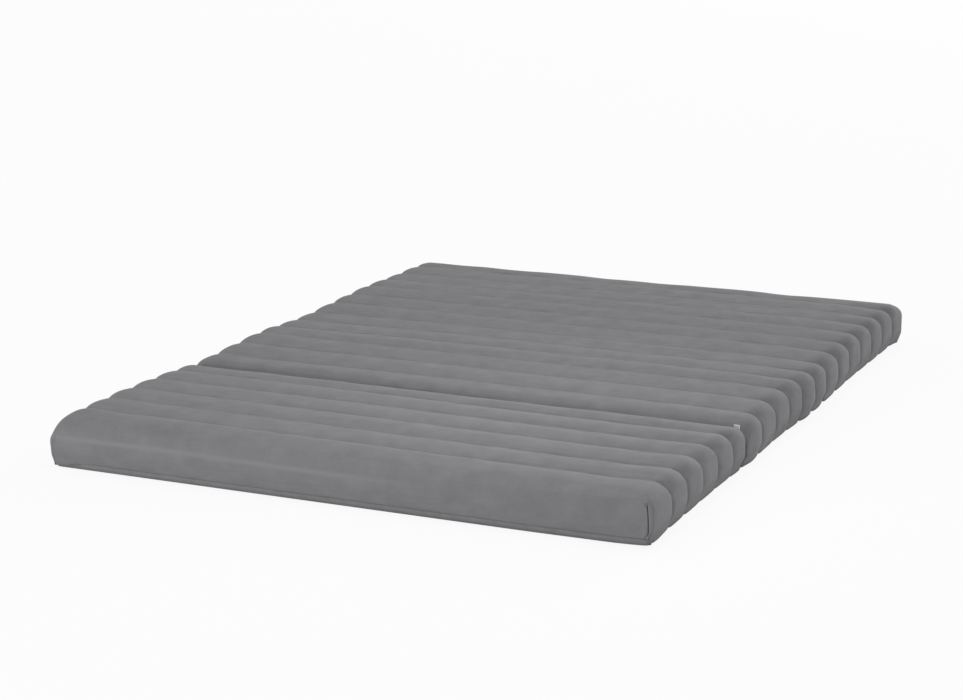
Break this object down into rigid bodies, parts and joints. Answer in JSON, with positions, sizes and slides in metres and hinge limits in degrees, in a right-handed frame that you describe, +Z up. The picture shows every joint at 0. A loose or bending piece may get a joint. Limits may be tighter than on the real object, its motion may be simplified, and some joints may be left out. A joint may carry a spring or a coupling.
{
  "type": "folding mattress",
  "caption": "Low foam mattress in hinged sections, with a grey channel-quilted cover; the short section folds over onto the long one.",
  "frame": {"origin": "middle of the underside, on the surface that the mattress lies on", "axes": "+X across the width to the right seen from the short section's end, +Y along the length from the short section to the long one, +Z up"},
  "size_m": [1.4, 1.88, 0.114],
  "materials": {
    "quilted_fabric": "fine plain weave, matt grey",
    "binding_fabric": "narrow woven tape, matt grey",
    "base_fabric": "plain weave, matt grey",
    "foam": "open-cell polyurethane foam",
    "tab_fabric": "white satin tape, bare"
  },
  "bodies": {
    "long_section": {"long_quilted_cover": "quilted_fabric", "long_edge_binding": "binding_fabric", "long_base_panel": "base_fabric", "long_foam_core": "foam", "fold_seam": "binding_fabric", "blank_tab": "tab_fabric"},
    "short_section": {"short_quilted_cover": "quilted_fabric", "short_edge_binding": "binding_fabric", "short_base_panel": "base_fabric", "short_foam_core": "foam"}
  },
  "joints": [
    {"name": "fold", "type": "hinge", "parent": "long_section", "child": "short_section", "pos_m": [0, -0.357, 0.1145], "axis": [-1, 0, 0], "range_deg": [0, 180], "deforming": ["fold_seam"]}
  ]
}
